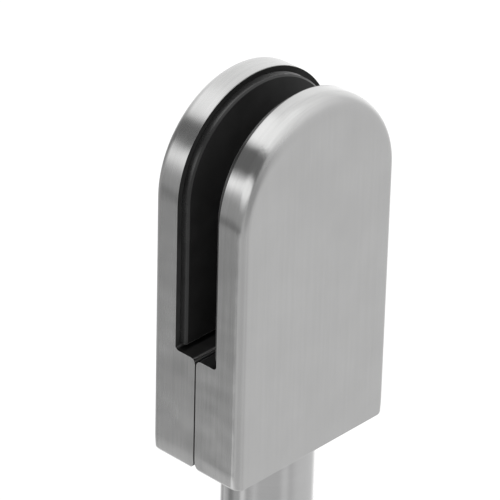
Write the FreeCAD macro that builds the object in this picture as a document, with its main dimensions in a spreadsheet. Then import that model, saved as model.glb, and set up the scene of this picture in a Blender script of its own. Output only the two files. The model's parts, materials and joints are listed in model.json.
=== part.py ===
import FreeCAD, Part
import math
import os
import Sketcher
from FreeCAD import Vector

# Glass panel clamp: two stainless jaws with rubber gaskets on a round stem.
# Millimetres, +Z up. The origin is the centre of the stem's lower end. The stem's axis is Z,
# the glass lies in the XZ plane, and the front jaw is on the -Y side.
FRONT = -1
REAR = 1
QUARTER_TURN = math.pi / 2
SAME_LENGTH = 1e-5
SIXTH_TURN_DEG = 60

doc = FreeCAD.newDocument("glass_panel_clamp")

# Driving dimensions
SIZES = {
    # the two jaws together, seen from the front and from the side
    "body_width": 50.0,
    "body_height": 92.0,
    "base_height": 30.0,
    "plate_thickness": 7.4,
    "slot_width": 12.9,
    "seam_gap": 0.4,
    # rounded edges of the jaws
    "slot_root_radius": 1.0,
    "edge_radius": 2.3,
    "crown_radius": 4.8,
    "foot_radius": 0.8,
    "foot_edge_radius": 0.4,
    "seam_foot_radius": 2.2,
    "floor_edge_radius": 1.5,
    # rubber gaskets and the seats that hold them
    "gasket_thickness": 2.9,
    "gasket_inset": 1.5,
    "gasket_floor_gap": 1.2,
    "gasket_seat_depth": 0.8,
    "gasket_clearance": 0.1,
    "gasket_edge_chamfer": 0.4,
    # stem with the headed spigot that the two jaws grip
    "stem_diameter": 22.0,
    "stem_length": 60.0,
    "stem_chamfer": 1.0,
    "neck_diameter": 12.0,
    "neck_length": 8.0,
    "head_diameter": 18.0,
    "head_flats": 14.0,
    "head_length": 8.0,
    "spigot_clearance": 0.1,
    # countersunk clamp screws
    "screw_diameter": 6.0,
    "screw_length": 20.0,
    "screw_spacing": 30.0,
    "screw_level": 15.0,
    "screw_head_diameter": 12.0,
    "screw_recess": 0.2,
    "screw_tip_chamfer": 0.8,
    "screw_seat_clearance": 0.1,
    "countersink_angle": 90.0,
    "hex_width": 4.0,
    "hex_depth": 2.6,
    "hex_turn": 15.0,
    "clearance_hole_diameter": 6.6,
    "tapped_hole_diameter": 6.1,
    "tapped_hole_depth": 10.0,
}

sheet = doc.addObject("Spreadsheet::Sheet", "Sizes")
for row, (alias, value) in enumerate(SIZES.items(), start=1):
    sheet.set("A%d" % row, alias)
    sheet.set("B%d" % row, str(value))
    sheet.setAlias("B%d" % row, alias)
doc.recompute()

# Levels and planes that several pieces share, as expressions on the sheet
UNDERSIDE = "Sizes.stem_length"
FLOOR = "(Sizes.stem_length + Sizes.base_height)"
TOP = "(Sizes.stem_length + Sizes.body_height)"
INNER_FACE = "(Sizes.slot_width / 2)"
OUTER_FACE = "(Sizes.slot_width / 2 + Sizes.plate_thickness)"
SEAM_FACE = "(Sizes.seam_gap / 2)"
SCREW_LEVEL = "(Sizes.stem_length + Sizes.screw_level)"
HEAD_LEVEL = "(Sizes.stem_length + Sizes.neck_length)"


def size(expression):
    """The present value of an expression on the sheet."""
    return float(sheet.evalExpression(expression.replace("Sizes.", "")))


def origin_plane(body, role):
    """One of the three origin planes of a body."""
    return next(f for f in body.Origin.OriginFeatures if f.Role == role)


def new_sketch(body, name, role, offset="0"):
    """An empty sketch on an origin plane of the body, moved along the plane's normal."""
    sketch = body.newObject("Sketcher::SketchObject", name)
    sketch.AttachmentSupport = [(origin_plane(body, role), "")]
    sketch.MapMode = "FlatFace"
    sketch.setExpression("AttachmentOffset.Base.z", offset)
    doc.recompute()
    return sketch


def dimension(sketch, kind, expression, *points):
    """A driving dimension of a sketch, bound to the sheet."""
    index = sketch.addConstraint(Sketcher.Constraint(kind, *points, size(expression)))
    sketch.setExpression("Constraints[%d]" % index, expression)


def place(sketch, geometry, point, x_expression, y_expression):
    """Hold a point of a sketch at two signed distances from the sketch's origin."""
    for kind, expression, axis in (("DistanceX", x_expression, -2),
                                   ("DistanceY", y_expression, -1)):
        value = size(expression)
        if value == 0:
            sketch.addConstraint(Sketcher.Constraint("PointOnObject", geometry, point, axis))
        elif value > 0:
            dimension(sketch, kind, expression, -1, 1, geometry, point)
        else:
            dimension(sketch, kind, "-(%s)" % expression, geometry, point, -1, 1)


def polygon(sketch, corners):
    """A closed outline of straight lines; each corner is a pair of expressions."""
    first = sketch.GeometryCount
    spots = [Vector(size(x), size(y), 0) for x, y in corners]
    for start, end in zip(spots, spots[1:] + spots[:1]):
        sketch.addGeometry(Part.LineSegment(start, end), False)
    last = first + len(corners) - 1
    for line in range(first, last + 1):
        following = line + 1 if line < last else first
        sketch.addConstraint(Sketcher.Constraint("Coincident", line, 2, following, 1))
    for line, (x, y) in enumerate(corners, start=first):
        place(sketch, line, 1, x, y)


def arched_outline(sketch, width, bottom, top):
    """A flat foot, two straight sides and a half-round crown, centred on the sketch's Y axis."""
    radius = size(width) / 2
    low = size(bottom)
    spring = size(top) - radius
    centre = Vector(0, spring, 0)
    circle = Part.Circle(centre, Vector(0, 0, 1), radius)
    sketch.addGeometry([
        Part.LineSegment(Vector(-radius, low, 0), Vector(radius, low, 0)),
        Part.LineSegment(Vector(radius, low, 0), Vector(radius, spring, 0)),
        Part.ArcOfCircle(circle, 0, QUARTER_TURN),
        Part.ArcOfCircle(circle, QUARTER_TURN, 2 * QUARTER_TURN),
        Part.LineSegment(Vector(-radius, spring, 0), Vector(-radius, low, 0)),
    ], False)
    foot, right, right_arc, left_arc, left = range(5)
    sketch.addConstraint([
        Sketcher.Constraint("Coincident", foot, 2, right, 1),
        Sketcher.Constraint("Tangent", right, 2, right_arc, 1),
        Sketcher.Constraint("Coincident", right_arc, 2, left_arc, 1),
        Sketcher.Constraint("Tangent", left_arc, 2, left, 1),
        Sketcher.Constraint("Coincident", left, 2, foot, 1),
        Sketcher.Constraint("Horizontal", foot),
        Sketcher.Constraint("Vertical", right),
        Sketcher.Constraint("Vertical", left),
        Sketcher.Constraint("Coincident", right_arc, 3, left_arc, 3),
        Sketcher.Constraint("PointOnObject", right_arc, 3, -2),
        Sketcher.Constraint("PointOnObject", right_arc, 2, -2),
    ])
    dimension(sketch, "DistanceY", bottom, -1, 1, foot, 1)
    dimension(sketch, "DistanceY", top, -1, 1, right_arc, 2)
    dimension(sketch, "Radius", "%s / 2" % width, right_arc)


def circles(sketch, diameter, centres):
    """Full circles of one diameter; each centre is a pair of expressions."""
    for x, y in centres:
        spot = Vector(size(x), size(y), 0)
        index = sketch.addGeometry(
            Part.Circle(spot, Vector(0, 0, 1), size(diameter) / 2), False)
        place(sketch, index, 3, x, y)
        dimension(sketch, "Diameter", diameter, index)


def extrude(body, kind, name, sketch, length=None, reverse=False, both_ways=False):
    """A pad or a pocket of a sketch, or a pocket right through where no length is given."""
    feature = body.newObject("PartDesign::" + kind, name)
    feature.Profile = sketch
    feature.Reversed = reverse
    feature.SideType = "Symmetric" if both_ways else "One side"
    if length is None:
        feature.Type = "ThroughAll"
    else:
        feature.setExpression("Length", length)
    doc.recompute()
    return feature


def screw_centres():
    """The two clamp screws, left and right of the stem, at one level."""
    half = "(Sizes.screw_spacing / 2)"
    return [("-" + half, SCREW_LEVEL), (half, SCREW_LEVEL)]


# Jaws: one L-shaped casting each, a thin plate over a thick base
def jaw_blank(name, side):
    """A jaw with its pockets and holes, before its edges are rounded."""
    body = doc.addObject("PartDesign::Body", name + "_blank")
    sign = "-1" if side == FRONT else "1"

    outline = new_sketch(body, name + "_outline", "XZ_Plane", "-%s * %s" % (sign, SEAM_FACE))
    arched_outline(outline, "Sizes.body_width", UNDERSIDE, TOP)
    extrude(body, "Pad", name + "_block", outline, OUTER_FACE + " - " + SEAM_FACE,
            reverse=(side == REAR))

    # half of the slot: everything between the plate and the seam, above the slot's floor
    profile = new_sketch(body, name + "_slot_profile", "YZ_Plane")
    slot_half(profile, side, sign)
    extrude(body, "Pocket", name + "_slot", profile, both_ways=True)

    # shallow seat that keeps the gasket in place
    seat = new_sketch(body, name + "_seat_outline", "XZ_Plane", "-%s * %s" % (sign, INNER_FACE))
    margin = "Sizes.gasket_inset - Sizes.gasket_clearance"
    arched_outline(seat, "(Sizes.body_width - 2 * (%s))" % margin,
                   "(%s + Sizes.gasket_floor_gap - Sizes.gasket_clearance)" % FLOOR,
                   "(%s - (%s))" % (TOP, margin))
    extrude(body, "Pocket", name + "_seat", seat, "Sizes.gasket_seat_depth",
            reverse=(side == FRONT))

    # half of the socket that grips the stem's neck and flatted head
    neck = new_sketch(body, name + "_neck_circle", "XY_Plane", UNDERSIDE)
    circles(neck, "Sizes.neck_diameter + 2 * Sizes.spigot_clearance", [("0", "0")])
    extrude(body, "Pocket", name + "_neck", neck, "Sizes.neck_length", reverse=True)
    head = new_sketch(body, name + "_head_outline", "XY_Plane", HEAD_LEVEL)
    flatted_circle(head, "(Sizes.head_diameter / 2 + Sizes.spigot_clearance)",
                   "(Sizes.head_flats / 2 + Sizes.spigot_clearance)")
    extrude(body, "Pocket", name + "_head", head,
            "Sizes.head_length + 2 * Sizes.spigot_clearance", reverse=True)
    return body


def slot_half(sketch, side, sign):
    """Half of the slot seen from the side, with the rounded root beside the plate."""
    radius = size("Sizes.slot_root_radius")
    face = side * size(INNER_FACE)
    floor = size(FLOOR)
    high = size(TOP) + size("Sizes.edge_radius")
    past = -side * size("Sizes.slot_width")
    root = face - side * radius
    circle = Part.Circle(Vector(root, floor + radius, 0), Vector(0, 0, 1), radius)
    start = 2 * QUARTER_TURN if side == FRONT else 3 * QUARTER_TURN
    sketch.addGeometry([
        Part.LineSegment(Vector(face, high, 0), Vector(face, floor + radius, 0)),
        Part.ArcOfCircle(circle, start, start + QUARTER_TURN),
        Part.LineSegment(Vector(root, floor, 0), Vector(past, floor, 0)),
        Part.LineSegment(Vector(past, floor, 0), Vector(past, high, 0)),
        Part.LineSegment(Vector(past, high, 0), Vector(face, high, 0)),
    ], False)
    plate, arc, base, beyond, above = range(5)
    arc_at_plate, arc_at_base = (1, 2) if side == FRONT else (2, 1)
    sketch.addConstraint([
        Sketcher.Constraint("Tangent", plate, 2, arc, arc_at_plate),
        Sketcher.Constraint("Tangent", base, 1, arc, arc_at_base),
        Sketcher.Constraint("Coincident", base, 2, beyond, 1),
        Sketcher.Constraint("Coincident", beyond, 2, above, 1),
        Sketcher.Constraint("Coincident", above, 2, plate, 1),
        Sketcher.Constraint("Vertical", plate),
        Sketcher.Constraint("Horizontal", base),
    ])
    dimension(sketch, "Radius", "Sizes.slot_root_radius", arc)
    place(sketch, above, 2, "%s * %s" % (sign, INNER_FACE), TOP + " + Sizes.edge_radius")
    place(sketch, beyond, 1, "-%s * Sizes.slot_width" % sign, FLOOR)
    place(sketch, beyond, 2, "-%s * Sizes.slot_width" % sign, TOP + " + Sizes.edge_radius")


def flatted_circle(sketch, radius, half_width):
    """A circle cut off by two flats, left and right."""
    reach = size(radius)
    flat = size(half_width)
    height = (reach ** 2 - flat ** 2) ** 0.5
    front = Part.Arc(Vector(-flat, -height, 0), Vector(0, -reach, 0), Vector(flat, -height, 0))
    back = Part.Arc(Vector(flat, height, 0), Vector(0, reach, 0), Vector(-flat, height, 0))
    sketch.addGeometry([
        front,
        Part.LineSegment(Vector(flat, -height, 0), Vector(flat, height, 0)),
        back,
        Part.LineSegment(Vector(-flat, height, 0), Vector(-flat, -height, 0)),
    ], False)
    front_arc, right, back_arc, left = range(4)
    sketch.addConstraint([
        Sketcher.Constraint("Coincident", front_arc, 2, right, 1),
        Sketcher.Constraint("Coincident", right, 2, back_arc, 1),
        Sketcher.Constraint("Coincident", back_arc, 2, left, 1),
        Sketcher.Constraint("Coincident", left, 2, front_arc, 1),
        Sketcher.Constraint("Vertical", right),
        Sketcher.Constraint("Vertical", left),
        Sketcher.Constraint("Coincident", front_arc, 3, -1, 1),
        Sketcher.Constraint("Coincident", back_arc, 3, -1, 1),
        Sketcher.Constraint("Symmetric", front_arc, 1, front_arc, 2, -2),
    ])
    dimension(sketch, "Radius", radius, front_arc)
    dimension(sketch, "Radius", radius, back_arc)
    dimension(sketch, "DistanceX", half_width, -1, 1, right, 1)


def drill(body, name, offset, diameter, depth=None):
    """Two round holes at the screws, drilled from a plane towards the front."""
    sketch = new_sketch(body, name + "_centres", "XZ_Plane", offset)
    circles(sketch, diameter, screw_centres())
    hole = body.newObject("PartDesign::Hole", name)
    hole.Profile = sketch
    hole.Reversed = True
    hole.Threaded = False
    hole.setExpression("Diameter", diameter)
    if depth is None:
        hole.DepthType = "ThroughAll"
    else:
        hole.DepthType = "Dimension"
        hole.DrillPoint = "Flat"
        hole.setExpression("Depth", depth)
    doc.recompute()
    return hole


def close(a, b):
    """Whether two lengths are the same, in millimetres."""
    return abs(a - b) < SAME_LENGTH


def edge_radii(edge, side, crown):
    """The start and end radius of one edge of a jaw blank, or None where it stays sharp."""
    box = edge.BoundBox
    outer = side * size(OUTER_FACE)
    seam = side * size(SEAM_FACE)
    underside = size(UNDERSIDE)
    floor = size(FLOOR)
    half_width = size("Sizes.body_width") / 2
    spring = size(TOP) - half_width
    on_outer = close(box.YMin, outer) and close(box.YMax, outer)
    on_seam = close(box.YMin, seam) and close(box.YMax, seam)
    on_side = close(box.XMin, box.XMax) and close(abs(box.XMin), half_width)
    on_underside = close(box.ZMin, underside) and close(box.ZMax, underside)
    reaches_side = close(max(abs(box.XMin), abs(box.XMax)), half_width)
    rim = size("Sizes.edge_radius")
    if on_outer and on_underside:
        return (size("Sizes.foot_edge_radius"),) * 2
    if on_outer and box.ZMax > spring + rim:
        ends = [edge.valueAt(edge.FirstParameter), edge.valueAt(edge.LastParameter)]
        if edge.Orientation == "Reversed":
            ends.reverse()
        return tuple(crown if close(end.x, 0) else rim for end in ends)
    if on_outer and on_side:
        return (rim, rim)
    if on_underside and on_side:
        return (size("Sizes.foot_radius"),) * 2
    if on_underside and on_seam and reaches_side:
        return (size("Sizes.seam_foot_radius"),) * 2
    if on_seam and close(box.ZMin, floor) and close(box.ZMax, floor):
        return (size("Sizes.floor_edge_radius"),) * 2
    return None


def rounded(name, blank, side, crown):
    """The finished jaw: every outside edge of its blank rounded in one step."""
    jaw = doc.addObject("Part::Fillet", name)
    jaw.Base = blank
    edges = []
    for number, edge in enumerate(blank.Shape.Edges, start=1):
        radii = edge_radii(edge, side, crown)
        if radii:
            edges.append((number,) + radii)
    jaw.Edges = edges
    jaw.Label = name
    doc.recompute()
    return jaw


# Front jaw: plain outside, tapped inside; its crown is rounded more than its sides
front_blank = jaw_blank("front_jaw", FRONT)
drill(front_blank, "front_jaw_tapped", SEAM_FACE, "Sizes.tapped_hole_diameter",
      "Sizes.tapped_hole_depth")
front_jaw = rounded("front_jaw", front_blank, FRONT, size("Sizes.crown_radius"))

# Rear jaw: the same casting turned round, with countersunk clearance holes
rear_blank = jaw_blank("rear_jaw", REAR)
countersunk = drill(rear_blank, "rear_jaw_holes", "-" + OUTER_FACE,
                    "Sizes.clearance_hole_diameter")
countersunk.HoleCutType = "Countersink"
countersunk.HoleCutCustomValues = True
countersunk.setExpression("HoleCutCountersinkAngle", "Sizes.countersink_angle * 1 deg")
countersunk.setExpression(
    "HoleCutDiameter",
    "Sizes.screw_head_diameter + 2 * (Sizes.screw_recess + Sizes.screw_seat_clearance)")
doc.recompute()
rear_jaw = rounded("rear_jaw", rear_blank, REAR, size("Sizes.edge_radius"))


# Gaskets: flat rubber pads of the plate's outline, a little smaller all round
def gasket(name, side):
    """One pad, sunk into its seat and standing proud of the plate."""
    body = doc.addObject("PartDesign::Body", name)
    back = "(%s + Sizes.gasket_seat_depth)" % INNER_FACE
    sign = "-1" if side == FRONT else "1"
    outline = new_sketch(body, name + "_outline", "XZ_Plane", "-%s * %s" % (sign, back))
    arched_outline(outline, "(Sizes.body_width - 2 * Sizes.gasket_inset)",
                   "(%s + Sizes.gasket_floor_gap)" % FLOOR,
                   "(%s - Sizes.gasket_inset)" % TOP)
    pad = extrude(body, "Pad", name + "_pad", outline, "Sizes.gasket_thickness",
                  reverse=(side == FRONT))
    glass_side = side * (size(back) - size("Sizes.gasket_thickness"))
    edges = ["Edge%d" % number for number, edge in enumerate(pad.Shape.Edges, start=1)
             if close(edge.BoundBox.YMin, glass_side) and close(edge.BoundBox.YMax, glass_side)]
    rim = body.newObject("PartDesign::Chamfer", name + "_rim")
    rim.Base = (pad, edges)
    rim.setExpression("Size", "Sizes.gasket_edge_chamfer")
    doc.recompute()
    return body


front_gasket = gasket("front_gasket", FRONT)
rear_gasket = gasket("rear_gasket", REAR)


# Stem: turned bar with a neck and a head, the head milled to two flats
def make_stem():
    body = doc.addObject("PartDesign::Body", "stem")
    radius = "(Sizes.stem_diameter / 2)"
    chamfer = "Sizes.stem_chamfer"
    shoulder = "(Sizes.stem_length - Sizes.spigot_clearance)"
    head_bottom = "(%s + Sizes.spigot_clearance)" % HEAD_LEVEL
    head_top = "(%s + Sizes.head_length)" % head_bottom
    profile = new_sketch(body, "stem_profile", "XZ_Plane")
    polygon(profile, [
        ("0", "0"),
        ("%s - %s" % (radius, chamfer), "0"),
        (radius, chamfer),
        (radius, shoulder),
        ("Sizes.neck_diameter / 2", shoulder),
        ("Sizes.neck_diameter / 2", head_bottom),
        ("Sizes.head_diameter / 2", head_bottom),
        ("Sizes.head_diameter / 2", head_top),
        ("0", head_top),
    ])
    turned = body.newObject("PartDesign::Revolution", "stem_turned")
    turned.Profile = profile
    turned.ReferenceAxis = (profile, ["V_Axis"])
    doc.recompute()
    flats = new_sketch(body, "stem_flats", "XY_Plane", head_bottom)
    for mark in ("", "-"):
        near = mark + "(Sizes.head_flats / 2)"
        far = mark + "Sizes.head_diameter"
        polygon(flats, [
            (near, "-Sizes.head_diameter"),
            (far, "-Sizes.head_diameter"),
            (far, "Sizes.head_diameter"),
            (near, "Sizes.head_diameter"),
        ])
    extrude(body, "Pocket", "stem_head_flats", flats, "Sizes.head_length", reverse=True)
    return body


stem = make_stem()


# Clamp screws: countersunk, hexagon socket, one left and one right of the stem
def clamp_screw(name, x_expression):
    """A screw from the rear face through the rear jaw into the front jaw."""
    body = doc.addObject("PartDesign::Body", name)
    face = "(%s - Sizes.screw_recess)" % OUTER_FACE
    shank = "(Sizes.screw_diameter / 2)"
    head = "(Sizes.screw_head_diameter / 2)"
    tip = "Sizes.screw_tip_chamfer"
    profile = new_sketch(body, name + "_profile", "XY_Plane")
    polygon(profile, [
        ("0", "0"),
        (head, "0"),
        (shank, "-((%s - %s) / tan(Sizes.countersink_angle / 2 * 1 deg))" % (head, shank)),
        (shank, "-(Sizes.screw_length - %s)" % tip),
        ("%s - %s" % (shank, tip), "-Sizes.screw_length"),
        ("0", "-Sizes.screw_length"),
    ])
    turned = body.newObject("PartDesign::Revolution", name + "_turned")
    turned.Profile = profile
    turned.ReferenceAxis = (profile, ["V_Axis"])
    doc.recompute()
    socket = new_sketch(body, name + "_hexagon", "XZ_Plane")
    reach = "Sizes.hex_width / 2 / cos(30 deg)"
    turns = ["(Sizes.hex_turn + %d) * 1 deg" % (step * SIXTH_TURN_DEG) for step in range(6)]
    polygon(socket, [("%s * cos(%s)" % (reach, turn), "%s * sin(%s)" % (reach, turn))
                     for turn in turns])
    extrude(body, "Pocket", name + "_socket", socket, "Sizes.hex_depth", reverse=True)
    body.setExpression("Placement.Base.x", x_expression)
    body.setExpression("Placement.Base.y", face)
    body.setExpression("Placement.Base.z", SCREW_LEVEL)
    doc.recompute()
    return body


left_screw = clamp_screw("left_clamp_screw", screw_centres()[0][0])
right_screw = clamp_screw("right_clamp_screw", screw_centres()[1][0])

doc.recompute()

# Every feature is up to date and every piece is one valid solid
for item in doc.Objects:
    if "Invalid" in item.State or "Error" in item.State:
        raise RuntimeError("%s did not build: %s" % (item.Name, item.State))

pieces = [front_jaw, rear_jaw, front_gasket, rear_gasket, stem, left_screw, right_screw]
os.makedirs("parts", exist_ok=True)
for piece in pieces:
    shape = piece.Shape
    if shape.isNull() or not shape.isValid() or len(shape.Solids) != 1:
        raise RuntimeError(piece.Label + " is not one valid solid")
for piece in pieces:
    piece.Shape.exportStep("parts/%s.step" % piece.Label)
    box = piece.Shape.optimalBoundingBox()
    print("%-18s %9.1f mm3  x %.2f..%.2f  y %.2f..%.2f  z %.2f..%.2f" % (
        piece.Label, piece.Shape.Volume, box.XMin, box.XMax, box.YMin, box.YMax,
        box.ZMin, box.ZMax))
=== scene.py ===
import json
import math
import bpy
import bmesh
from mathutils import Matrix, Vector


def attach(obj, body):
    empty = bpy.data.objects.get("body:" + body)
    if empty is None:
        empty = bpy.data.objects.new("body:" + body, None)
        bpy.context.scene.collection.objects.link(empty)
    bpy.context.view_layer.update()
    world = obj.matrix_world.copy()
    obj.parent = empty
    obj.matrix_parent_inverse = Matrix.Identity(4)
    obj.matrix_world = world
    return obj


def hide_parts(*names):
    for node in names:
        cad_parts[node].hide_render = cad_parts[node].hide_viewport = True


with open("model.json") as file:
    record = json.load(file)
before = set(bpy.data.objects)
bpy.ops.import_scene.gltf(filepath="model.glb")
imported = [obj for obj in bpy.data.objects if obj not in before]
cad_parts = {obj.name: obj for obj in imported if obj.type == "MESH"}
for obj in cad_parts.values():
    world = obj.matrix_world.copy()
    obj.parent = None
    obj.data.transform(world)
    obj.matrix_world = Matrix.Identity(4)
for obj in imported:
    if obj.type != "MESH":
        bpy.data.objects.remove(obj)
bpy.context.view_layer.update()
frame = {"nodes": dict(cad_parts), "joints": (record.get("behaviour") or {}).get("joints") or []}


# Front jaw and rear jaw: two stainless castings, each a thin arched plate over a thick base,
# screwed together over the stem's head. Their faces are brushed up and down and their edges
# polished along the outline, which eases the lips of the slot and seam and rolls in the foot.
jaw_box = [Vector(corner) for corner in frame["nodes"]["rear_jaw"].bound_box]
half_width = max(corner.x for corner in jaw_box)
half_seam = min(corner.y for corner in jaw_box)
foot = min(corner.z for corner in jaw_box)
spring = max(corner.z for corner in jaw_box) - half_width
base_top, inner_face = 0.09, 0.00645    # the slot's floor and sides
corner_top = 0.0011                     # just over the height of the floor's rounded corners
kept_middle = 0.012                     # half the width round the stem that isn't rolled in
lip_start, lip_ease = 0.0631, 0.00007   # the seam's lips begin above its rounded foot
foot_rise, foot_roll, foot_steps = 0.0045, 0.034, 6    # height, radius and cuts of the roll


def add(tree, kind, inputs=None, **settings):
    """A node with its settings, and a value or a link on each of the inputs named."""
    made = tree.nodes.new(kind)
    for name, value in settings.items():
        setattr(made, name, value)
    for socket, value in (inputs or {}).items():
        if isinstance(value, bpy.types.NodeSocket):
            tree.links.new(value, made.inputs[socket])
        else:
            made.inputs[socket].default_value = value
    return made


def calc(tree, operation, first, second=0.0):
    """The result of one step of arithmetic."""
    return add(tree, "ShaderNodeMath", {0: first, 1: second}, operation=operation).outputs[0]


def spread(tree, value, low, high, to_low, to_high, shape="LINEAR"):
    """A value moved from one range to another, and held inside it."""
    return add(tree, "ShaderNodeMapRange",
               {"Value": value, "From Min": low, "From Max": high,
                "To Min": to_low, "To Max": to_high},
               interpolation_type=shape).outputs["Result"]


def blend(tree, share, first, second, kind="FLOAT"):
    """Two values, vectors or colours mixed by a share between 0 and 1."""
    number = ("FLOAT", "VECTOR", "RGBA").index(kind)
    pair = 2 + 2 * number
    made = add(tree, "ShaderNodeMix", {0: share, pair: first, pair + 1: second},
               data_type=kind)
    return made.outputs[number]


def noise(tree, place, scale, detail, roughness=0.5):
    """Even noise with its middle at 0.5."""
    return add(tree, "ShaderNodeTexNoise", {"Vector": place, "Scale": scale, "Detail": detail,
                                            "Roughness": roughness}).outputs["Fac"]


def vary(tree, pattern, low, high):
    """A noise, most of which lies between 0.3 and 0.7, spread over another range."""
    return spread(tree, pattern, 0.3, 0.7, low, high)


def bump(tree, height, strength, distance, normal=None):
    """A fine relief, laid over another one if that is given."""
    inputs = {"Strength": strength, "Distance": distance, "Height": height}
    if normal is not None:
        inputs["Normal"] = normal
    return add(tree, "ShaderNodeBump", inputs).outputs["Normal"]


def grey(tree, tone, warmth=1.0):
    """A grey of the tone given, with its blue lowered for a warmer one."""
    blue = calc(tree, "MULTIPLY", tone, warmth)
    return add(tree, "ShaderNodeCombineColor", {0: tone, 1: tone, 2: blue}).outputs[0]


def new_material(name, colour, metallic, roughness):
    """A material with its principled shader and that shader's tree."""
    material = bpy.data.materials.new(name)
    material.use_nodes = True
    material.diffuse_color = (*colour, 1)
    tree = material.node_tree
    shader = tree.nodes["Principled BSDF"]
    shader.inputs["Base Color"].default_value = (*colour, 1)
    shader.inputs["Metallic"].default_value = metallic
    shader.inputs["Roughness"].default_value = roughness
    return material, tree, shader


def streaks(tree, across, along, fine, coarse):
    """Brushing: noise that is narrow across the strokes and long along them."""
    place = add(tree, "ShaderNodeCombineXYZ", {
        "X": calc(tree, "MULTIPLY", across, fine),
        "Y": calc(tree, "MULTIPLY", along, coarse)}).outputs[0]
    return noise(tree, place, 1.0, 3.0, 0.6)


def brushed_stainless():
    """Satin steel: the strokes run up the faces and follow the outline on the edges.

    Inside the slot the steel is darkened nearly to black as painted shade, and left dull.
    """
    steel, tree, shader = new_material("brushed_stainless", (0.5, 0.5, 0.497), 1.0, 0.3)
    shader.inputs["Anisotropic"].default_value = 0.75
    coordinates = add(tree, "ShaderNodeTexCoord").outputs
    place = coordinates["Object"]
    x, y, z = add(tree, "ShaderNodeSeparateXYZ", {0: place}).outputs
    facing = add(tree, "ShaderNodeSeparateXYZ", {0: coordinates["Normal"]}).outputs
    sideways = calc(tree, "ABSOLUTE", facing["Y"])
    on_face = spread(tree, sideways, 0.55, 0.85, 0, 1, "SMOOTHSTEP")
    inwards = calc(tree, "MAXIMUM", sideways, facing["Z"])
    # painted shade: the slot's floor and inner walls get a near-black tone and dull steel
    overspill = 0.0003
    in_slot = spread(tree, calc(tree, "ABSOLUTE", y), inner_face, inner_face + overspill, 1, 0)
    painted_slot_shade = calc(tree, "MULTIPLY", spread(tree, inwards, 0.75, 0.95, 0, 1), in_slot)

    # the way along the outline: up the straight side, then round the crown
    above = calc(tree, "MAXIMUM", calc(tree, "SUBTRACT", z, spring), 0.0)
    turn = calc(tree, "ARCTAN2", above, calc(tree, "ABSOLUTE", x))
    outline = calc(tree, "ADD", calc(tree, "MINIMUM", z, spring),
                   calc(tree, "MULTIPLY", turn, half_width))
    across = blend(tree, on_face, y, x)
    along = blend(tree, on_face, outline, z)
    hairlines = streaks(tree, across, along, 9000, 130)
    bands = streaks(tree, across, along, 1100, 16)
    clouds = noise(tree, place, 90.0, 2.0)

    # colour: darker and brighter strokes, stronger on the edges
    edge_contrast, face_contrast = 0.02, 0.007
    shade = calc(tree, "ADD", vary(tree, bands, -1.0, 1.0),
                 vary(tree, hairlines, -1.0, 1.0))
    shade = calc(tree, "MULTIPLY", shade,
                 spread(tree, on_face, 0, 1, edge_contrast, face_contrast))
    tone = calc(tree, "ADD", shade, vary(tree, clouds, 0.481, 0.511))
    # painted shade: inside the slot the tone drops nearly to black
    slot_shade_tone = vary(tree, clouds, 0.05, 0.1)
    tone = blend(tree, painted_slot_shade, tone, slot_shade_tone)
    tree.links.new(grey(tree, tone, 0.995), shader.inputs["Base Color"])

    # gloss: the edges are polished, those of the rear jaw less, and the faces are satin
    front_edges, rear_edges, faces, slot_roughness = 0.14, 0.24, 0.2, 0.65
    edges = spread(tree, y, -inner_face, inner_face, front_edges, rear_edges)
    worn = calc(tree, "ADD", vary(tree, hairlines, 0, 0.03),
                vary(tree, clouds, -0.01, 0.02))
    rounded = calc(tree, "MULTIPLY", spread(tree, sideways, 0.02, 0.2, 0, 0.05),
                   spread(tree, sideways, 0.8, 0.98, 1, 0))
    gloss = calc(tree, "ADD", blend(tree, on_face, edges, faces), worn)
    gloss = blend(tree, painted_slot_shade, calc(tree, "ADD", gloss, rounded), slot_roughness)
    tree.links.new(gloss, shader.inputs["Roughness"])

    # relief: the wheel leaves the edges a little wavy, and the brushing a fine grain
    edge_waves, face_waves = 1.0, 0.2
    wavy = bump(tree, noise(tree, place, 110.0, 1.0),
                spread(tree, on_face, 0, 1, edge_waves, face_waves), 0.0002)
    tree.links.new(bump(tree, hairlines, 0.04, 0.00002, wavy), shader.inputs["Normal"])
    tree.links.new(blend(tree, on_face, (0, 1, 0), (1, 0, 0), "VECTOR"),
                   shader.inputs["Tangent"])
    return steel


def is_lip(edge):
    """Whether an edge of a jaw lies where its outline meets the slot or the seam."""
    slack = 2e-6
    for corner in edge.verts:
        x, y, z = abs(corner.co.x), abs(corner.co.y), corner.co.z
        reach = x if z < spring else math.hypot(x, z - spring)
        if abs(reach - half_width) > slack or y > inner_face + slack or z < lip_start:
            return False
    middle = (edge.verts[0].co + edge.verts[1].co) / 2
    sharp = edge.calc_face_angle(0) > math.radians(50)
    at_slot = abs(abs(middle.y) - inner_face) < slack or middle.z < base_top + corner_top
    at_seam = abs(abs(middle.y) - half_seam) < slack
    return sharp and (at_slot or at_seam)


def place_key(point):
    """A place rounded to a thousandth of a millimetre, to look it up by."""
    return tuple(round(c, 6) for c in point)


def corner_normal(corner, face, known, areas):
    """The solid's own normal at a corner of a face, or else the mean of the faces round it."""
    own_limit, blend_limit = 0.8, 0.5    # cosines of the angles between two normals
    nearest = max(known.get(place_key(corner.co), []), key=face.normal.dot, default=None)
    if nearest is not None and nearest.dot(face.normal) > own_limit:
        return nearest
    mixed = Vector()
    for other in corner.link_faces:
        if other.normal.dot(face.normal) > blend_limit:
            mixed += other.normal * areas[other]
    return mixed.normalized()


def rolled_in(place):
    """How far the wheel has taken the side in at a place, and how much it leans there.

    Both fade out towards the stem's socket, which stays as it is.
    """
    below = max(0.0, foot + foot_rise - place.z)
    rest = math.sqrt(foot_roll ** 2 - below ** 2)
    share = min(1.0, max(0.0, (abs(place.x) - kept_middle) / (half_width - kept_middle)))
    return (foot_roll - rest) * share, below / rest * share


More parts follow.
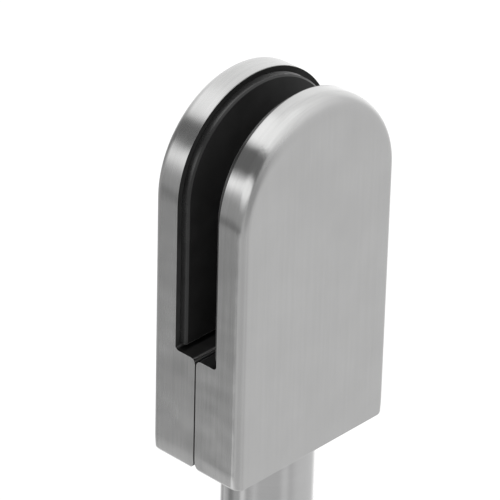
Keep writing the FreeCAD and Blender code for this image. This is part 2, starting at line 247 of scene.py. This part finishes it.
def eased_jaw(cad_name, name):
    """A jaw with its lips eased and its foot rolled in.

    Elsewhere it keeps the solid's faces and normals, so its rounded edges stay as smooth.
    """
    solid = frame["nodes"][cad_name].data
    known = {}
    for corner, normal in zip(solid.loops, solid.corner_normals):
        key = place_key(solid.vertices[corner.vertex_index].co)
        known.setdefault(key, []).append(normal.vector.copy())

    # the solid's loose triangles joined, and its flat faces made whole again
    weld, hardly_bent, squarely = 1e-6, 1e-4, 0.999999
    shape = bmesh.new()
    shape.from_mesh(solid)
    bmesh.ops.remove_doubles(shape, verts=shape.verts, dist=weld)
    flat = [edge for edge in shape.edges if edge.calc_face_angle(1) < hardly_bent
            and max(abs(c) for c in edge.link_faces[0].normal) > squarely]
    bmesh.ops.dissolve_limit(shape, angle_limit=1e-3, verts=[], edges=flat)

    # the lips eased, and the foot cut into level steps for the roll
    lips = [edge for edge in shape.edges if is_lip(edge)]
    bmesh.ops.bevel(shape, geom=lips, offset=lip_ease, offset_type="OFFSET", segments=2,
                    profile=0.5, affect="EDGES", clamp_overlap=False)
    for step in range(1, foot_steps + 1):
        bmesh.ops.bisect_plane(shape, geom=shape.verts[:] + shape.edges[:] + shape.faces[:],
                               plane_co=(0, 0, foot + step * foot_rise / foot_steps),
                               plane_no=(0, 0, 1), dist=weld)

    # every corner's normal, leaned with the roll, and then the roll itself
    shape.normal_update()
    areas = {face: face.calc_area() for face in shape.faces}
    normals = []
    for face in shape.faces:
        face.smooth = True
        for corner in face.loops:
            normal = corner_normal(corner.vert, face, known, areas)
            lean = rolled_in(corner.vert.co)[1]
            normals.append(Vector((normal.x, normal.y,
                                   normal.z - lean * abs(normal.x))).normalized())
    for corner in shape.verts:
        reach = min(half_width, abs(corner.co.x) - rolled_in(corner.co)[0])
        corner.co.x = math.copysign(reach, corner.co.x)
    mesh = bpy.data.meshes.new(name)
    shape.to_mesh(mesh)
    shape.free()
    mesh.normals_split_custom_set(normals)
    jaw = bpy.data.objects.new(name, mesh)
    bpy.context.scene.collection.objects.link(jaw)
    return jaw


steel = brushed_stainless()
for cad_name, name, body in (("front_jaw", "front_jaw_casting", "front_half"),
                             ("rear_jaw", "rear_jaw_casting", "rear_half")):
    jaw = eased_jaw(cad_name, name)
    jaw.data.materials.append(steel)
    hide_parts(cad_name)
    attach(jaw, body)


# Gaskets: two pads of black moulded rubber, pressed into the seats of the two jaws. They are
# the CAD's own solids. The rubber is matt on its faces and a little shiny on its rims.
def moulded_rubber():
    """Black rubber, a little greyer in clouds."""
    rubber, tree, shader = new_material("black_rubber", (0.012, 0.012, 0.0125), 0.0, 0.38)
    coordinates = add(tree, "ShaderNodeTexCoord").outputs
    place = coordinates["Object"]
    grain = noise(tree, place, 2600.0, 3.0)
    bloom = noise(tree, place, 140.0, 4.0)
    facing = add(tree, "ShaderNodeSeparateXYZ", {0: coordinates["Normal"]}).outputs
    rim = spread(tree, calc(tree, "ABSOLUTE", facing["Y"]), 0.35, 0.9, 1, 0)
    darker, smoother = 0.012, 0.16
    tone = calc(tree, "SUBTRACT", spread(tree, bloom, 0.35, 0.7, 0.019, 0.028),
                calc(tree, "MULTIPLY", rim, darker))
    tree.links.new(grey(tree, tone), shader.inputs["Base Color"])
    gloss = calc(tree, "SUBTRACT", vary(tree, bloom, 0.38, 0.46),
                 calc(tree, "MULTIPLY", rim, smoother))
    tree.links.new(gloss, shader.inputs["Roughness"])

    # the rims shine more than the matt faces, and have a soft sheen of their own
    matt, shiny, sheen = 0.25, 0.75, 0.7
    tree.links.new(spread(tree, rim, 0, 1, matt, shiny), shader.inputs["Specular IOR Level"])
    tree.links.new(calc(tree, "MULTIPLY", rim, sheen), shader.inputs["Sheen Weight"])
    shader.inputs["Sheen Roughness"].default_value = 0.35
    tree.links.new(bump(tree, grain, 0.25, 0.00003), shader.inputs["Normal"])
    return rubber


rubber = moulded_rubber()
for cad_name in ("front_gasket", "rear_gasket"):
    frame["nodes"][cad_name].material_slots[0].material = rubber


# Stem: a turned stainless bar, its neck and flatted head gripped between the jaws. The lathe
# leaves fine rings round it, and its lower end is chamfered. It is the CAD's own solid.
def turned_stainless():
    """Turned steel, brighter and darker in rings."""
    metal, tree, shader = new_material("turned_stainless", (0.5, 0.5, 0.497), 1.0, 0.28)
    shader.inputs["Anisotropic"].default_value = 0.5
    place = add(tree, "ShaderNodeTexCoord").outputs["Object"]
    x, y, z = add(tree, "ShaderNodeSeparateXYZ", {0: place}).outputs
    turn = calc(tree, "ARCTAN2", y, x)
    rings = streaks(tree, z, turn, 7000, 0.6)
    wide_rings = streaks(tree, z, turn, 600, 0.3)
    tone = calc(tree, "ADD", vary(tree, rings, 0.488, 0.512),
                vary(tree, wide_rings, -0.008, 0.008))
    tree.links.new(grey(tree, tone), shader.inputs["Base Color"])
    tree.links.new(vary(tree, rings, 0.13, 0.19), shader.inputs["Roughness"])
    tree.links.new(bump(tree, rings, 0.06, 0.00002), shader.inputs["Normal"])
    up_the_bar = add(tree, "ShaderNodeCombineXYZ", {"Z": 1.0}).outputs[0]
    tree.links.new(up_the_bar, shader.inputs["Tangent"])
    return metal


frame["nodes"]["stem"].material_slots[0].material = turned_stainless()


# Clamp screws: two M6 countersunk screws with hexagon sockets, of plain machined stainless.
# They pass through the rear jaw and are threaded into the front jaw.
def screw_stainless():
    """Plain machined steel, a little mottled."""
    metal, tree, shader = new_material("screw_stainless", (0.46, 0.46, 0.46), 1.0, 0.3)
    place = add(tree, "ShaderNodeTexCoord").outputs["Object"]
    mottle = noise(tree, place, 900.0, 4.0)
    tone = vary(tree, mottle, 0.42, 0.5)
    tree.links.new(grey(tree, tone), shader.inputs["Base Color"])
    tree.links.new(vary(tree, mottle, 0.24, 0.38), shader.inputs["Roughness"])
    return metal


def screw_tree():
    """A countersunk screw: head with a hexagon socket, core, tip and a rolled thread.

    It is built upright with its head's flat end at zero, then laid with its tip to -Y.
    """
    tree = bpy.data.node_groups.new("m6_countersunk_screw", "GeometryNodeTree")
    tree.interface.new_socket("Geometry", in_out="OUTPUT", socket_type="NodeSocketGeometry")
    tree.interface.new_socket("Geometry", in_out="INPUT", socket_type="NodeSocketGeometry")
    for name in ("Length", "Thread Radius", "Pitch", "Head Radius", "Head Height",
                 "Head Land", "Socket Width", "Socket Depth", "Socket Turn"):
        tree.interface.new_socket(name, in_out="INPUT", socket_type="NodeSocketFloat")
    tree.interface.new_socket("Head Centre", in_out="INPUT", socket_type="NodeSocketVector")
    tree.interface.new_socket("Steel", in_out="INPUT", socket_type="NodeSocketMaterial")
    given = tree.nodes.new("NodeGroupInput").outputs

    def pitches(share):
        """A length given as a share of the thread's pitch."""
        return calc(tree, "MULTIPLY", given["Pitch"], share)

    def moved(geometry, height=0.0, turn=0.0):
        """A shape raised along the screw and turned about it."""
        place = add(tree, "ShaderNodeCombineXYZ", {"Z": height}).outputs[0]
        angle = add(tree, "ShaderNodeCombineXYZ", {"Z": turn}).outputs[0]
        return add(tree, "GeometryNodeTransform", {"Geometry": geometry, "Translation": place,
                                                   "Rotation": angle}).outputs[0]

    def cone(low_radius, high_radius, low, high, sides=64):
        """A round or many-sided length of the screw, between two heights."""
        made = add(tree, "GeometryNodeMeshCone", {
            "Vertices": sides, "Radius Bottom": low_radius, "Radius Top": high_radius,
            "Depth": calc(tree, "SUBTRACT", high, low)}).outputs["Mesh"]
        return moved(made, low)

    # the head: a thin upright land, the countersunk flank, and the socket cut from both
    land = given["Head Land"]
    head = cone(given["Head Radius"], given["Head Radius"], 0.0, land)
    flank = cone(given["Head Radius"], given["Thread Radius"], land, given["Head Height"])
    key_radius = calc(tree, "DIVIDE", given["Socket Width"], math.sqrt(3))
    above = calc(tree, "MULTIPLY", land, -1.0)
    hexagon = moved(cone(key_radius, key_radius, above, given["Socket Depth"], sides=6),
                    turn=given["Socket Turn"])
    full_head = add(tree, "GeometryNodeMeshBoolean", operation="UNION", solver="EXACT")
    tree.links.new(head, full_head.inputs["Mesh 2"])
    tree.links.new(flank, full_head.inputs["Mesh 2"])
    socketed = add(tree, "GeometryNodeMeshBoolean", {"Mesh 1": full_head.outputs["Mesh"]},
                   operation="DIFFERENCE", solver="EXACT")
    tree.links.new(hexagon, socketed.inputs["Mesh 2"])

    # the shank under the thread, let a little way into the head, and its pointed tip
    thread_depth, tip_height, let_in = pitches(0.54), pitches(0.8), pitches(0.2)
    core = calc(tree, "SUBTRACT", given["Thread Radius"], thread_depth)
    start = calc(tree, "SUBTRACT", given["Head Height"], let_in)
    end = calc(tree, "SUBTRACT", given["Length"], tip_height)
    shank = cone(core, core, start, end)
    narrower = calc(tree, "MULTIPLY", tip_height, 0.8)
    point = cone(core, calc(tree, "SUBTRACT", core, narrower), end, given["Length"])

    # the rolled thread: one ridge along a helix of the pitch
    ridge_size = pitches(0.6)
    ridge_line = calc(tree, "SUBTRACT", given["Thread Radius"], ridge_size)
    first_turn = calc(tree, "ADD", given["Head Height"], pitches(0.6))
    rise = calc(tree, "SUBTRACT", end, first_turn)
    helix = add(tree, "GeometryNodeCurveSpiral", {
        "Resolution": 40, "Rotations": calc(tree, "DIVIDE", rise, given["Pitch"]),
        "Start Radius": ridge_line, "End Radius": ridge_line, "Height": rise}).outputs[0]
    upright = add(tree, "GeometryNodeSetCurveNormal", {"Curve": helix}, mode="Z_UP")
    ridge = add(tree, "GeometryNodeCurvePrimitiveCircle", {
        "Resolution": 3, "Radius": ridge_size}, mode="RADIUS").outputs[0]
    thread = add(tree, "GeometryNodeCurveToMesh", {
        "Curve": upright.outputs[0], "Profile Curve": ridge, "Fill Caps": True}).outputs[0]

    whole = add(tree, "GeometryNodeJoinGeometry")
    for part in (socketed.outputs["Mesh"], shank, point, moved(thread, first_turn)):
        tree.links.new(part, whole.inputs[0])
    laid = add(tree, "GeometryNodeTransform", {
        "Geometry": whole.outputs[0], "Translation": given["Head Centre"],
        "Rotation": (math.pi / 2, 0, 0)}).outputs[0]
    real = add(tree, "GeometryNodeRealizeInstances", {"Geometry": laid}).outputs[0]
    shown = add(tree, "GeometryNodeSetMaterial", {"Geometry": real,
                                                  "Material": given["Steel"]}).outputs[0]
    add(tree, "NodeGroupOutput", {0: shown})
    return tree


def threaded_screw(name, shape, sizes):
    """The mesh that the screw's tree makes from its named sizes, smooth but for its edges."""
    blank = bpy.data.objects.new(name + "_blank", bpy.data.meshes.new(name + "_blank"))
    bpy.context.scene.collection.objects.link(blank)
    maker = blank.modifiers.new("screw", "NODES")
    maker.node_group = shape
    for item in shape.interface.items_tree:
        if item.in_out == "INPUT" and item.name in sizes:
            maker[item.identifier] = sizes[item.name]
    bpy.context.view_layer.update()
    made = bpy.data.meshes.new_from_object(
        blank.evaluated_get(bpy.context.evaluated_depsgraph_get()))
    blank.modifiers.remove(maker)
    bpy.data.objects.remove(blank)
    made.name = name
    for polygon in made.polygons:
        polygon.use_smooth = True
    made.set_sharp_from_angle(angle=math.radians(28))
    return made


screw_shape = screw_tree()
screw_sizes = {"Length": 0.02, "Thread Radius": 0.00298, "Pitch": 0.001,
               "Head Radius": 0.006, "Head Height": 0.003, "Head Land": 0.00025,
               "Socket Width": 0.004, "Socket Depth": 0.0026,
               "Socket Turn": math.radians(15), "Steel": screw_stainless()}
head_centres = {joint["child"]: joint["pos_m"] for joint in frame["joints"]
                if joint["type"] == "hinge"}
for side in ("left", "right"):
    body = side + "_screw"
    made = threaded_screw(side + "_threaded_screw", screw_shape,
                          {**screw_sizes, "Head Centre": head_centres[body]})
    screw = bpy.data.objects.new(side + "_threaded_screw", made)
    bpy.context.scene.collection.objects.link(screw)
    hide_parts(side + "_clamp_screw")
    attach(screw, body)


# Floor: a plain pale sheet of paper, lying flat under the clamp. The eye sees it as white,
# with the clamp's soft shadow on it.
def pale_floor():
    """The sheet and its paper."""
    reach, paper, glow = 4.0, 0.8, 0.32
    mesh = bpy.data.meshes.new("floor")
    mesh.from_pydata([(-reach, -reach, 0), (reach, -reach, 0), (reach, reach, 0),
                      (-reach, reach, 0)], [], [(0, 1, 2, 3)])
    floor = bpy.data.objects.new("floor", mesh)
    bpy.context.scene.collection.objects.link(floor)
    material = bpy.data.materials.new("pale_sheet")
    material.use_nodes = True
    tree = material.node_tree
    tree.nodes.clear()
    matt = add(tree, "ShaderNodeBsdfDiffuse", {"Color": (paper, paper, paper, 1)}).outputs[0]
    rays = add(tree, "ShaderNodeLightPath").outputs
    seen = calc(tree, "MAXIMUM", rays["Is Camera Ray"], rays["Is Transmission Ray"])
    lift = add(tree, "ShaderNodeEmission", {
        "Color": (1, 1, 1, 1), "Strength": calc(tree, "MULTIPLY", seen, glow)}).outputs[0]
    both = add(tree, "ShaderNodeAddShader", {0: matt, 1: lift}).outputs[0]
    add(tree, "ShaderNodeOutputMaterial", {0: both})
    mesh.materials.append(material)
    floor.visible_glossy = False


pale_floor()


# Studio: a soft white room. The metal mirrors its walls, which brighten from the table up to
# the large soft panel overhead. Lamps and dark screens stand to the left and to the rear.
def studio_room():
    """The room's light, as a level that depends on the direction."""
    world = bpy.data.worlds.new("studio")
    bpy.context.scene.world = world
    world.use_nodes = True
    tree = world.node_tree
    tree.nodes.clear()
    way = add(tree, "ShaderNodeTexCoord").outputs["Generated"]
    height = add(tree, "ShaderNodeSeparateXYZ", {0: way}).outputs["Z"]
    elevation = calc(tree, "ARCSINE", height)

    def by_elevation(levels):
        """A level that follows the elevation, from pairs of degrees and level."""
        share = spread(tree, elevation, -math.pi / 2, math.pi / 2, 0, 1)
        ramp = add(tree, "ShaderNodeValToRGB", {"Fac": share})
        stops = ramp.color_ramp.elements
        for number, (degrees, level) in enumerate(levels):
            place = (degrees + 90) / 180
            stop = stops[number] if number < 2 else stops.new(place)
            stop.position = place
            stop.color = (level, level, level, 1)
        return ramp.outputs["Color"]

    def over(angle, low, high, to_low, to_high):
        """A soft step between two angles in degrees."""
        return spread(tree, angle, math.radians(low), math.radians(high), to_low, to_high,
                      "SMOOTHSTEP")

    def along(direction, aim):
        """The cosine of the angle between a direction and an aim."""
        return add(tree, "ShaderNodeVectorMath", {0: direction, 1: aim},
                   operation="DOT_PRODUCT").outputs["Value"]

    def around(cosine, inner, outer):
        """A share of 1 within the inner angle, and 0 beyond the outer one."""
        return spread(tree, cosine, math.cos(math.radians(outer)),
                      math.cos(math.radians(inner)), 0, 1, "SMOOTHSTEP")

    def near(azimuth, height_angle, inner, outer):
        """The share for a round patch of the room."""
        a, e = math.radians(azimuth), math.radians(height_angle)
        aim = (math.cos(a) * math.cos(e), math.sin(a) * math.cos(e), math.sin(e))
        return around(along(way, aim), inner, outer)

    def within(azimuth, inner, outer):
        """The share for a whole upright sector of the room."""
        a = math.radians(azimuth)
        level_way = add(tree, "ShaderNodeVectorMath", {0: way, 1: (1, 1, 0)},
                        operation="MULTIPLY").outputs[0]
        level_way = add(tree, "ShaderNodeVectorMath", {0: level_way},
                        operation="NORMALIZE").outputs[0]
        return around(along(level_way, (math.cos(a), math.sin(a), 0)), inner, outer)

    def shaded(share, level, tone):
        """The room's level with a patch of another tone laid over it."""
        return blend(tree, share, level, (tone, tone, tone, 1), "RGBA")

    # the room all round, and its left side, where a lamp stands above a dark wall and a pale
    # table; the first two pairs are the ends of each ramp
    room = by_elevation(((-90, 0.95), (90, 1.45), (-50, 0.92), (-36, 0.89), (-10, 0.89),
                         (14, 0.92), (30, 1.12), (42, 1.24), (58, 1.28), (72, 1.5)))
    left = by_elevation(((-90, 0.95), (90, 1.5), (-62, 1.0), (-46, 1.15), (-41, 1.0),
                         (-37, 0.8), (-35, 0.66), (-33.5, 0.54), (-32, 0.445), (-27, 0.42),
                         (-24, 0.28), (-21, 0.28), (-16, 0.47), (-3, 0.5), (2, 0.72),
                         (7, 1.2), (11, 1.5)))
    low_sector, high_sector = within(140, 28, 55), within(172, 45, 75)
    sector = blend(tree, over(elevation, -29, -24, 0, 1), low_sector, high_sector)
    level = blend(tree, sector, room, left, "RGBA")

    # the dark screen: a strip that rises from the front left, passes high over the left side
    # and sinks to the rear
    across_strip, screen_tone = (0.75, 0.03, 0.66), 0.2
    tilt = calc(tree, "ARCSINE", along(way, across_strip))
    strip = calc(tree, "MULTIPLY", over(tilt, -23, -12, 0, 1), over(tilt, 4, 17, 1, 0))
    strip = calc(tree, "MULTIPLY", strip, within(172, 60, 140))
    level = shaded(strip, level, screen_tone)

    # single lamps and screens: azimuth, elevation, the angles where each is full and where
    # it has faded out, and its tone
    for azimuth, height_angle, full, faded, tone in (
            (38, 0, 25, 50, 1.33), (105, 54, 6, 20, 1.6), (-132, -30, 18, 32, 0.72),
            (-112, 0, 12, 32, 0.5), (160, -41, 4, 11, 1.4), (121, -38, 3, 11, 0.35)):
        level = shaded(near(azimuth, height_angle, full, faded), level, tone)

    # white for the eye and through glass, the same room with its screens in the metal, and
    # one plain soft level on everything dull
    rays = add(tree, "ShaderNodeLightPath").outputs
    seen = calc(tree, "MAXIMUM", rays["Is Camera Ray"], rays["Is Transmission Ray"])
    white = add(tree, "ShaderNodeBackground", {"Color": (1, 1, 1, 1), "Strength": 1.0})
    mirrored = add(tree, "ShaderNodeBackground", {"Color": level, "Strength": 1.0})
    soft = add(tree, "ShaderNodeBackground", {"Color": (1, 1, 1, 1), "Strength": 0.95})
    lit = add(tree, "ShaderNodeMixShader", {0: rays["Is Glossy Ray"], 1: soft.outputs[0],
                                            2: mirrored.outputs[0]}).outputs[0]
    shown = add(tree, "ShaderNodeMixShader", {0: seen, 1: lit, 2: white.outputs[0]}).outputs[0]
    add(tree, "ShaderNodeOutputWorld", {0: shown})


studio_room()


# Camera: above the front left corner and turned a little, with a long lens. Its place and
# lens are those that the edges of the jaws and the stem in the photo give.
def photo_camera():
    """The camera, aimed at a point on the clamp's axis that lies a little off the middle."""
    azimuth, elevation, roll = (math.radians(v) for v in (46.865, 30.615, 1.469))
    distance, lens, sensor = 0.91458, 289.87, 36
    aim = Vector((0, 0, 0.109449))
    across, up = 0.005455, 0.000745
    view = Vector((math.sin(azimuth) * math.cos(elevation),
                   math.cos(azimuth) * math.cos(elevation), -math.sin(elevation)))
    right = Vector((math.cos(azimuth), -math.sin(azimuth), 0))
    top = right.cross(view)
    frame_right = right * math.cos(roll) + top * math.sin(roll)
    frame_top = top * math.cos(roll) - right * math.sin(roll)
    place = aim - frame_right * across - frame_top * up - view * distance
    data = bpy.data.cameras.new("camera")
    data.lens = lens
    data.sensor_width = sensor
    data.clip_start = 0.01
    data.clip_end = 50
    camera = bpy.data.objects.new("camera", data)
    turned = Matrix((frame_right, frame_top, -view)).transposed()
    camera.matrix_world = Matrix.Translation(place) @ turned.to_4x4()
    bpy.context.scene.collection.objects.link(camera)
    bpy.context.scene.camera = camera


photo_camera()
bpy.context.scene.view_settings.view_transform = "Standard"
